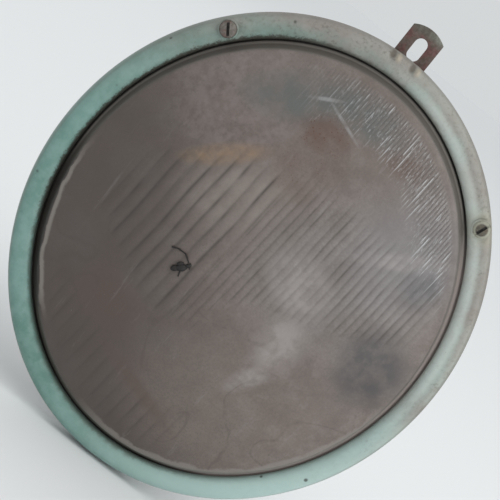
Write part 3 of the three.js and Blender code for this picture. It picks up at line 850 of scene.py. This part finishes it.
def build_lens():
    columns, rows, trim = 640, 84, 0.9998
    edge_r = 86.3
    a, b = edge_r - NARROW, edge_r
    lean_c, lean_s = math.cos(FLUTE_LEAN), math.sin(FLUTE_LEAN)
    big_a = (lean_s / a) ** 2 + (lean_c / b) ** 2
    big_b = lean_s * lean_c * (1 / a ** 2 - 1 / b ** 2)
    big_c = (lean_c / a) ** 2 + (lean_s / b) ** 2
    reach = math.sqrt(big_a / (big_a * big_c - big_b ** 2))
    bm = bmesh.new()
    bmesh.ops.create_grid(bm, x_segments=columns, y_segments=rows, size=1.0)
    # each corner keeps the painted shade of its flute valley
    shade = bm.verts.layers.float.new("valley_shade")
    for corner in bm.verts:
        u = reach * trim * math.sin(corner.co.x * math.pi / 2)
        half = math.sqrt(max(big_b ** 2 * u ** 2 - big_a * (big_c * u ** 2 - 1), 0)) / big_a
        v = -big_b * u / big_a + corner.co.y * half
        x, z = u * lean_c + v * lean_s, v * lean_c - u * lean_s
        radius = math.hypot(x * b / a, z)
        relief, corner[shade] = flute_height(u, v, radius)
        corner.co = Vector((x, lens_height(radius) - relief, z)) * MM
    bmesh.ops.recalc_face_normals(bm, faces=bm.faces)
    steps = [(86.7, -11.85), (87.1, -11.5), (87.35, -11.0), (88.3, -8.7), (88.8, -8.0),
             (89.3, -7.0), (89.6, -6.4), (90.2, -6.05), (92.3, -6.0), (92.7, -5.7), (92.8, -5.2),
             (92.8, -3.0), (84.4, -3.0)]
    rim_edges = [edge for edge in bm.edges if edge.is_boundary]
    radius = edge_r
    for next_radius, y in steps:
        grown = bmesh.ops.extrude_edge_only(bm, edges=rim_edges)["geom"]
        for corner in of_kind(grown, bmesh.types.BMVert):
            corner.co.x *= (next_radius - NARROW) / (radius - NARROW)
            corner.co.z *= next_radius / radius
            corner.co.y = y * MM
            corner[shade] = 0.0
        rim_edges = [edge for edge in of_kind(grown, bmesh.types.BMEdge) if edge.is_boundary]
        radius = next_radius
    bmesh.ops.recalc_face_normals(bm, faces=bm.faces)
    finished("lens_moulding", bm, LENS_GLASS, "front_unit", ["lens"], 40.0)


def lens_height(radius):
    return LENS_Y - LENS_RISE * (1 - (radius / LENS_R) ** 2)


def build_husk():
    """A dead insect stuck to the dust."""
    def lens_y(x, z):
        return lens_height(math.hypot(x * WIDEN, z)) - 0.7

    parts = []
    for x, z, size, length in ((-19.6, -13.1, 1.5, 2.3), (-21.6, -14.9, 1.2, 1.7), (-18.0, -10.9, 0.9, 1.3),
                               (-20.9, -12.2, 0.9, 1.5)):
        part = bmesh.new()
        bmesh.ops.create_icosphere(part, subdivisions=2, radius=MM)
        bmesh.ops.scale(part, vec=(length, size * 0.7, size), verts=part.verts)
        parts.append(shifted(swung(part, -0.8), x, z, lens_y(x, z)))
    legs = [((-27.4, -9.1), (-24.8, -8.0)), ((-24.8, -8.0), (-21.6, -7.9)), ((-21.6, -7.9), (-18.6, -9.9)),
            ((-17.9, -9.6), (-16.9, -11.8)), ((-20.6, -14.6), (-22.9, -15.2)),
            ((-19.6, -13.6), (-18.6, -16.6))]
    for (x0, z0), (x1, z1) in legs:
        part = bmesh.new()
        length = math.hypot(x1 - x0, z1 - z0)
        bmesh.ops.create_cone(part, cap_ends=True, segments=8, radius1=0.33 * MM, radius2=0.24 * MM,
                              depth=length * MM)
        x, z = (x0 + x1) / 2, (z0 + z1) / 2
        parts.append(shifted(swung(part, math.atan2(x1 - x0, z1 - z0)), x, z, lens_y(x, z)))
    finished("insect_husk", united(*parts), HUSK, "front_unit")


# ---------------------------------------------------------------- fixings behind the rim

def build_retainers():
    gasket = squeezed(washer(87.0, 92.8, -2.7, -0.9, 240, 0.4))
    finished("gasket_ring", gasket, RUBBER, "front_unit", ["lens_gasket"])
    ring = finished("clamp_hoop", squeezed(washer(86.5, 94.5, -0.6, 0.4, 240, 0.2)), ZINC, "front_unit",
                    ["clamp_ring"])
    cut(ring, united(*[at_screw(rod(2.6, -4, 4), side) for side in (-1, 1)]))
    for number, angle in enumerate((8, 75, 105, 172, 232, 308), 1):
        line = [(98.0, -1.7), (96.2, -1.7)]
        line += arc(4, lambda t: (96.0 - 0.8 * math.sin(t * math.pi / 2),
                                  -0.9 - 0.8 * math.cos(t * math.pi / 2)))
        line += arc(4, lambda t: (94.4 + 0.8 * math.cos(t * math.pi / 2),
                                  0.2 + 0.8 * math.sin(t * math.pi / 2)))
        line += [(91.5, 1.0), (89.5, 1.1)]
        bm = bmesh.new()
        corners = [bm.verts.new((r * MM, y * MM, -5 * MM)) for r, y in thickened(line, 0.6)]
        bm.faces.new(corners)
        pushed(bm, (0, 0, 10 * MM))
        finished(f"lens_clip_{number}", squeezed(swung(bm, -math.radians(angle))), SPRING, "front_unit",
                 [f"spring_clip_{number}"])


def wound(bm, start, **spin):
    """Sweeps one face along a helix and closes both ends."""
    corners, edges = start.verts[:], start.edges[:]
    bmesh.ops.delete(bm, geom=[start], context="FACES_ONLY")
    made = bmesh.ops.spin(bm, geom=corners + edges, cent=(0, 0, 0), **spin)
    bm.faces.new(corners)
    bm.faces.new(of_kind(made["geom_last"], bmesh.types.BMVert))
    bmesh.ops.recalc_face_normals(bm, faces=bm.faces)
    return bm


def thread(radius, pitch, front, back):
    """A helical ridge round a shank."""
    bm = bmesh.new()
    third = pitch * 0.42
    points = [(radius - 0.25, front - third), (radius + 0.08, front), (radius - 0.25, front + third)]
    corners = [bm.verts.new((r * MM, y * MM, 0)) for r, y in points]
    steps = 18
    count = int(steps * ((back - front) / pitch))
    return wound(bm, bm.faces.new(corners), axis=(0, 1, 0), dvec=(0, pitch / steps * MM, 0),
                 angle=math.tau * count / steps, steps=count)


def build_screw(side, name, slot_turn):
    head = -11.7
    profile = [(0.0, head - 1.5)]
    profile += arc(8, lambda t: (3.25 * math.sin(t * math.pi / 2),
                                 head - 0.55 - 0.95 * math.cos(t * math.pi / 2)))
    profile += [(3.4, head - 0.4), (3.4, head - 0.1), (3.3, head), (1.5, head), (1.5, 9.8),
                (1.0, 10.4), (0.0, 10.4)]
    body = turned(profile, 48, loop=False)
    piece = finished(f"screw_{name}_head", at_screw(body, side), SCREW_FACES[side],
                     f"{name}_adjuster", [f"screw_{name}"])
    slot = block((1.15, 2.1, 9.0), (0, head - 1.55, 0), 0.12)
    cut(piece, at_screw(swung(slot, slot_turn), side))
    ridge = at_screw(thread(1.5, 1.0, 2.6, 9.2), side)
    finished(f"screw_{name}_thread", ridge, SCREW_STEEL, f"{name}_adjuster")
    clip = at_screw(washer(1.8, 3.4, 0.7, 1.4, 48, 0.12), side)
    clip_piece = finished(f"circlip_{name}_ring", clip, SPRING, f"{name}_adjuster",
                          [f"circlip_{name}"])
    cut(clip_piece, at_screw(block((1.6, 2.0, 3.0), (0, 1.0, -3.0), 0.1), side))
    cup = at_screw(washer(2.1, 3.9, -11.4, -10.8, 64, 0.25), side)
    finished(f"screw_cup_{name}", cup, PAINT, "front_unit", [f"screw_washer_{name}"])
    far = math.hypot(SCREW_X, SCREW_Z)
    boss = at_screw(washer(1.9, 2.6, 4.0, 6.5, 48, 0.15), side)
    bars = []
    for front, back, start, end in ((4.05, 6.45, 84.0, far - 2.2), (5.0, 9.5, 84.0, 87.2)):
        bar = block((5.1, back - front, end - start), (0, (front + back) / 2, (start + end) / 2), 0.2)
        bars.append(swung(bar, math.atan2(side * SCREW_X, SCREW_Z)))
    finished(f"nut_{name}", united(boss, *bars), BRASS, "optic", [f"adjuster_nut_{name}"])


def arm(x, z, half, start, end):
    """Outline of a flat arm that points from the lamp's axis towards a place."""
    far = math.hypot(x, z)
    ux, uz = x / far, z / far
    corners = ((start, half * 1.4), (start, -half * 1.4), (end - 1.5, -half), (end, 1.5 - half),
               (end, half - 1.5), (end - 1.5, half))
    return [(ux * along - uz * beside, uz * along + ux * beside) for along, beside in corners]


def circle(x, z, radius, count=32):
    return [(x + radius * math.cos(math.tau * i / count), z + radius * math.sin(math.tau * i / count))
            for i in range(count)]


def build_carrier():
    ring = washer(74.5, 80.0, 9.8, 11.0, 200, 0.25)
    ears = [slab([arm(side * SCREW_X, SCREW_Z, 5, 75.6, 88.0)], 9.86, 10.94, 0.2) for side in (-1, 1)]
    lug = circle(0, PIVOT_Z, 7.0, 48)
    ears.append(slab([lug, circle(0, PIVOT_Z, 3.6)], 9.86, 10.94, 0.2))
    ears.append(slab([[(-7, -75.6), (7, -75.6), (6.9, -80.6), (-6.9, -80.6)]], 9.9, 10.9, 0.1))
    finished("carrier_hoop", united(ring, *ears), ZINC, "optic", ["carrier_ring"])
    socket = shifted(washer(3.6, 5.6, 11.3, 15.6, 48, 0.4), 0, PIVOT_Z)
    finished("ball_socket", socket, RESIN, "optic", ["pivot_socket"])
    ball = bmesh.new()
    bmesh.ops.create_uvsphere(ball, u_segments=40, v_segments=24, radius=3.2 * MM)
    finished("ball_end", shifted(ball, 0, PIVOT_Z, 13.0), BRASS, "ball_pivot", ["pivot_ball"])
    foot = [(-9, -93), (9, -93), (5, -80), (-5, -80)]
    plate = slab([foot], 0.7, 2.2, 0.3)
    stud = shifted(rod(2.0, 1.5, 9.5), 0, PIVOT_Z)
    collar = shifted(washer(1.9, 3.4, 2.1, 3.6, 40, 0.3), 0, PIVOT_Z)
    finished("pivot_foot", united(plate, stud, collar), ZINC, "front_unit", ["pivot_bracket"])


# ---------------------------------------------------------------- reflector and bulbs

def bowl_line(offset, count, first, last):
    def point(t):
        r = first + (last - first) * t
        slope = r / (2 * FOCAL)
        unit = math.hypot(1, slope)
        return (r + offset * slope / unit, APEX_Y - r * r / (4 * FOCAL) + offset / unit)
    return arc(count, point)


def build_reflector():
    profile = [(77.7, 8.5), (73.2, 8.5)] + bowl_line(0.0, 48, MOUTH_R, NECK_R + 0.4)
    profile += [(NECK_R, NECK_BACK - 2.4), (NECK_R, NECK_BACK),
                (NECK_R + 1, NECK_BACK), (NECK_R + 1, NECK_BACK - 2.2)]
    profile += bowl_line(1.0, 48, NECK_R + 1.4, MOUTH_R - 0.6)
    profile += [(73.7, 9.5), (77.7, 9.5), (78.0, 9.2), (78.0, 8.8)]
    bowl = finished("reflector_bowl", turned(profile, 240), SILVERING, "optic",
                    ["reflector"], 40.0)
    cut(bowl, shifted(rod(8.4, 20, 70, 64, 0.1), 0, PILOT_Z))
    collar = washer(NECK_R, 24.0, NECK_BACK + 0.3, NECK_BACK + 3.3, 120, 0.4)
    finished("neck_collar", collar, ZINC, "optic", ["bulb_collar"])
    sleeve = washer(6.7, 8.0, 44.0, 60.0, 64, 0.3)
    finished("pilot_tube", shifted(sleeve, 0, PILOT_Z), ZINC, "optic", ["pilot_sleeve"])


def envelope(radius, tip, base, neck, wall, steps=64):
    """A blown glass bulb, open at its base."""
    waist = base - 8 * (radius - neck) / radius - 3
    outer = arc(16, lambda t: (radius * math.sin(t * math.pi / 2),
                               tip + radius * (1 - math.cos(t * math.pi / 2))))
    inner = arc(16, lambda t: ((radius - wall) * math.cos(t * math.pi / 2),
                               tip + radius - (radius - wall) * math.sin(t * math.pi / 2)))
    line = outer + [(radius, waist), (neck, base), (neck - wall, base), (radius - wall, waist)] + inner
    return turned(line, steps, loop=False)


def coil(width, radius, y, z, back):
    """A wound filament on two support wires."""
    bm = bmesh.new()
    corners = []
    for i in range(6):
        a = math.tau * i / 6
        corners.append(bm.verts.new((0.0, (radius + 0.13 * math.cos(a)) * MM, 0.13 * math.sin(a) * MM)))
    ring = bm.faces.new(corners)
    bmesh.ops.rotate(bm, verts=corners, cent=(0, radius * MM, 0),
                     matrix=Matrix.Rotation(math.pi / 2, 3, "Y"))
    turns, steps = 9, 14
    wound(bm, ring, axis=(1, 0, 0), angle=math.tau * turns,
          dvec=(width * 0.8 / turns / steps * MM, 0, 0), steps=turns * steps)
    shifted(bm, -width * 0.4, z, y)
    wires = [shifted(rod(0.3, y - 0.2, back, 12, 0.05), side * (width / 2 - 0.4), z) for side in (-1, 1)]
    return united(bm, *wires)


def build_main_bulb():
    body = "main_bulb"
    base_y = 62.0
    flange = NECK_BACK + 3.6
    finished("bulb_envelope", envelope(10.0, 30.0, base_y, 9.0, 0.9), BULB_GLASS, body,
             ["bulb_glass"])
    finished("main_coil", coil(7.0, 0.6, 45.0, -2.4, base_y), TUNGSTEN, body, ["filament_main"])
    finished("dip_coil", coil(7.0, 0.6, 38.0, 2.4, base_y), TUNGSTEN, body, ["filament_dip"])
    shield = slab([[(-4, -0.35), (4, -0.35), (4, 0.35), (-4, 0.35)]], 34.0, 44.0, 0.1)
    finished("shield_plate", shield, TUNGSTEN, body, ["dip_shield"])
    finished("bulb_cap", rod(9.4, base_y + 0.3, flange - 0.3, 64, 0.4), BRASS, body, ["bulb_base"])
    outline = [circle(0, 0, 22.0, 96)]
    plate = finished("bulb_disc", slab(outline, flange, flange + 1.4, 0.3), ZINC, body,
                     ["bulb_flange"])
    for angle in (30, 150, 270):
        notch = block((4.0, 4.0, 3.0), (0, flange + 0.7, 22.0), 0.2)
        cut(plate, swung(notch, math.radians(angle)))
    cap = flange + 1.7
    profile = [(0.0, cap), (16.6, cap), (17.0, cap + 0.4), (17.0, cap + 4.6), (16.4, cap + 5.3),
               (13.6, cap + 6.6), (13.0, cap + 7.3), (13.0, cap + 11.4), (12.4, cap + 12.0),
               (0.0, cap + 12.0)]
    holder = turned(profile, 96, loop=False)
    ribs = [swung(block((1.2, 3.6, 0.9), (0, cap + 9.6, 13.0), 0.2), math.tau * i / 16) for i in range(16)]
    finished("holder_shell", united(holder, *ribs), RESIN, body, ["bulb_holder"])
    for number, (x, z) in enumerate(((-7.0, 0.0), (7.0, 0.0), (0.0, 6.5)), 1):
        blade = finished(f"blade_{number}", block((6.3, 8.0, 0.8), (x, cap + 16.3, z), 0.12), BRASS, body,
                         [f"bulb_terminal_{number}"])
        pin = rod(0.8, -2, 2, 20, 0.05)
        cut(blade, shifted(swung(pin, math.pi / 2, "X"), x, z, cap + 17.4))


def build_pilot_bulb():
    body = "pilot_bulb"

    def here(bm):
        return shifted(bm, 0, PILOT_Z)

    finished("pilot_envelope", here(envelope(4.5, 33.0, 46.0, 3.6, 0.6, 48)), BULB_GLASS, body,
             ["pilot_glass"])
    finished("pilot_coil", here(coil(3.0, 0.35, 38.5, 0, 46.0)), TUNGSTEN, body,
             ["pilot_filament"])
    finished("pilot_cap", here(rod(4.6, 46.3, 55.7, 48, 0.4)), BRASS, body, ["pilot_base"])
    finished("pilot_shell", here(rod(6.2, 56.0, 64.0, 64, 0.6)), RESIN, body, ["pilot_holder"])
    finished("pilot_blade", here(block((5.0, 7.0, 0.8), (0, 67.8, 0), 0.12)), BRASS, body,
             ["pilot_terminal"])


add_camera()
add_stage()
build_rim()
build_tab()
build_lens()
build_husk()
build_retainers()
build_screw(-1, "left", math.radians(-35))
build_screw(1, "right", math.radians(20))
build_carrier()
build_reflector()
build_main_bulb()
build_pilot_bulb()
